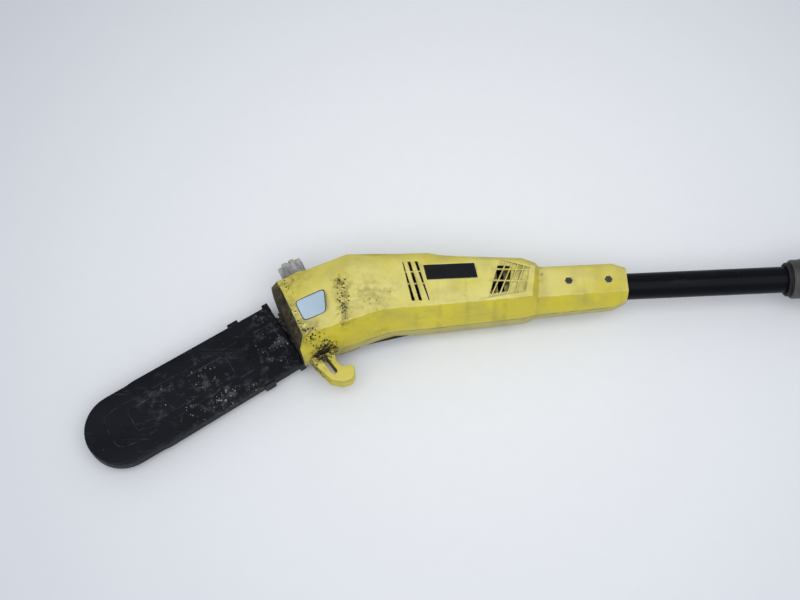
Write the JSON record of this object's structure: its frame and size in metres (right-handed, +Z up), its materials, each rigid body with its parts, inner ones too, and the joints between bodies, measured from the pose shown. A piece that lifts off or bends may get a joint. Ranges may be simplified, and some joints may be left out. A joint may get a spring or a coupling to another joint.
{
  "type": "telescoping pole saw",
  "caption": "Corded telescoping pole saw lying on its side: saw head with sheathed bar and chain, twist-lock telescoping pole and rear trigger handle.",
  "frame": {"origin": "under the middle of the part's box, on the level it lies on", "axes": "+X along the pole from the saw head to the rear handle, +Z up as it lies on its side, +Y away from the guide bar"},
  "size_m": [1.8888, 0.2114, 0.0732],
  "materials": {
    "head_shell_upper": "satin moulded yellow",
    "head_shell_lower": "satin moulded yellow",
    "branch_hook": "satin moulded yellow",
    "badge_plate": "bare black inlay",
    "oil_tank": "translucent pale blue",
    "oil_cap_seal": "black",
    "oil_cap": "grey, soiled",
    "oil_pump": "cast",
    "oil_pipe": "hose",
    "gear_case": "die cast",
    "gear_cover": "die cast",
    "gear_cover_screws": "zinc plated",
    "face_gear": "machined",
    "motor_pinion": "machined",
    "spindle": "ground",
    "spindle_bearings": "ground",
    "sprocket": "hardened",
    "sprocket_clip": "oiled",
    "guide_bar": "ground",
    "saw_chain": "oiled",
    "sprocket_cover": "satin black",
    "bar_stud": "zinc plated",
    "bar_nut": "zinc plated",
    "tension_screw": "zinc plated",
    "tension_block": "sintered",
    "motor_stator": "laminated steel",
    "field_coils": "enamelled copper",
    "armature": "laminated steel",
    "commutator": "copper segments",
    "cooling_fan": "moulded",
    "motor_bearings": "ground",
    "brush_holders": "pressed",
    "carbon_brushes": "carbon",
    "terminal_block": "moulded",
    "head_screws": "zinc plated",
    "neck_screws": "black zinc",
    "upper_pole": "satin black aluminium tube",
    "pole_bush": "moulded",
    "collet": "black",
    "lock_base": "black",
    "lock_nut": "grey beige",
    "lower_pole": "satin black aluminium tube",
    "internal_lead": "black sheath",
    "foam_grip": "closed cell foam",
    "strap_clamp": "black",
    "clamp_screw": "zinc plated",
    "strap_ring": "plated wire",
    "handle_left": "satin black",
    "handle_right": "satin moulded yellow",
    "trigger": "black",
    "trigger_pin": "ground",
    "trigger_spring": "coil spring",
    "lock_button": "red",
    "button_spring": "coil spring",
    "power_switch": "black",
    "power_inlet": "black",
    "inlet_pins": "plated",
    "handle_screws": "black zinc",
    "grip_pad": "soft grip",
    "scabbard": "satin black"
  },
  "bodies": {
    "main_pole": {"lower_pole": "lower_pole", "lock_base": "lock_base", "collet": "collet", "foam_grip": "foam_grip", "strap_clamp": "strap_clamp", "clamp_screw": "clamp_screw", "handle_left": "handle_left", "handle_right": "handle_right", "trigger_pin": "trigger_pin", "trigger_spring": "trigger_spring", "button_spring": "button_spring", "power_switch": "power_switch", "power_inlet": "power_inlet", "inlet_pins": "inlet_pins", "handle_screws": "handle_screws", "grip_pad": "grip_pad", "internal_lead": "internal_lead"},
    "saw_head": {"head_shell_upper": "head_shell_upper", "head_shell_lower": "head_shell_lower", "branch_hook": "branch_hook", "badge_plate": "badge_plate", "oil_tank": "oil_tank", "oil_pump": "oil_pump", "oil_pipe": "oil_pipe", "gear_case": "gear_case", "gear_cover": "gear_cover", "gear_cover_screws": "gear_cover_screws", "spindle_bearings": "spindle_bearings", "sprocket_cover": "sprocket_cover", "bar_stud": "bar_stud", "bar_nut": "bar_nut", "motor_stator": "motor_stator", "field_coils": "field_coils", "motor_bearings": "motor_bearings", "brush_holders": "brush_holders", "carbon_brushes": "carbon_brushes", "terminal_block": "terminal_block", "head_screws": "head_screws", "neck_screws": "neck_screws", "upper_pole": "upper_pole", "pole_bush": "pole_bush"},
    "lock_sleeve": {"lock_nut": "lock_nut"},
    "bar_set": {"guide_bar": "guide_bar", "saw_chain": "saw_chain", "tension_block": "tension_block"},
    "tension_adjuster": {"tension_screw": "tension_screw"},
    "bar_scabbard": {"scabbard": "scabbard"},
    "cap_thread": {"oil_cap_seal": "oil_cap_seal"},
    "filler_cap": {"oil_cap": "oil_cap"},
    "motor_armature": {"armature": "armature", "commutator": "commutator", "cooling_fan": "cooling_fan", "motor_pinion": "motor_pinion"},
    "drive_spindle": {"spindle": "spindle", "face_gear": "face_gear", "sprocket": "sprocket", "sprocket_clip": "sprocket_clip"},
    "throttle": {"trigger": "trigger"},
    "lock_off": {"lock_button": "lock_button"},
    "carry_ring": {"strap_ring": "strap_ring"}
  },
  "joints": [
    {"name": "pole_slide", "type": "slide", "parent": "main_pole", "child": "saw_head", "axis": [-1, 0, 0], "range_m": [0, 0.7], "deforming": ["internal_lead"]},
    {"name": "lock_turn", "type": "hinge", "parent": "main_pole", "child": "lock_sleeve", "pos_m": [-0.17356, 0.06043, 0.038], "axis": [1, 0, 0], "range_deg": [0, 60]},
    {"name": "tension_turn", "type": "hinge", "parent": "saw_head", "child": "tension_adjuster", "pos_m": [-0.72362, 0.05722, 0.0244], "axis": [0.866, 0.5, 0], "range_deg": [0, 1080]},
    {"name": "tension_slide", "type": "slide", "parent": "saw_head", "child": "bar_set", "axis": [-0.866, -0.5, 0], "range_m": [0, 0.003], "deforming": ["saw_chain"]},
    {"name": "scabbard_slide", "type": "slide", "parent": "bar_set", "child": "bar_scabbard", "axis": [-0.866, -0.5, 0], "range_m": [0, 0.25]},
    {"name": "oil_cap_turn", "type": "hinge", "parent": "cap_thread", "child": "filler_cap", "pos_m": [-0.72276, 0.08103, 0.042], "axis": [-0.3907, 0.9205, 0], "range_deg": [0, 720]},
    {"name": "oil_cap_lift", "type": "slide", "parent": "saw_head", "child": "cap_thread", "axis": [-0.3907, 0.9205, 0], "range_m": [0, 0.006]},
    {"name": "motor_spin", "type": "hinge", "parent": "saw_head", "child": "motor_armature", "pos_m": [-0.55856, 0.06043, 0.038], "axis": [1, 0, 0], "continuous": true},
    {"name": "spindle_spin", "type": "hinge", "parent": "saw_head", "child": "drive_spindle", "pos_m": [-0.68506, 0.06043, 0.038], "axis": [0, 0, 1], "continuous": true, "deforming": ["saw_chain"]},
    {"name": "trigger_pull", "type": "hinge", "parent": "main_pole", "child": "throttle", "pos_m": [0.78844, 0.06243, 0.038], "axis": [0, 0, 1], "range_deg": [0, 9], "stiffness_Nm_per_rad": 0.8, "springref_deg": -11.46, "deforming": ["trigger_spring"]},
    {"name": "button_press", "type": "slide", "parent": "main_pole", "child": "lock_off", "axis": [0, -1, 0], "range_m": [0, 0.004], "stiffness_N_per_m": 1000, "springref_m": -0.002, "deforming": ["button_spring"]},
    {"name": "ring_swing", "type": "hinge", "parent": "main_pole", "child": "carry_ring", "pos_m": [0.18944, 0.08653, 0.038], "axis": [1, 0, 0], "range_deg": [0, 180]}
  ],
  "couplings": [
    {"joint": "tension_turn", "follows": "tension_slide", "rad_per_m": 6283},
    {"joint": "oil_cap_lift", "follows": "oil_cap_turn", "m_per_rad": 0.000477},
    {"joint": "spindle_spin", "follows": "motor_spin", "ratio": -0.33333}
  ]
}
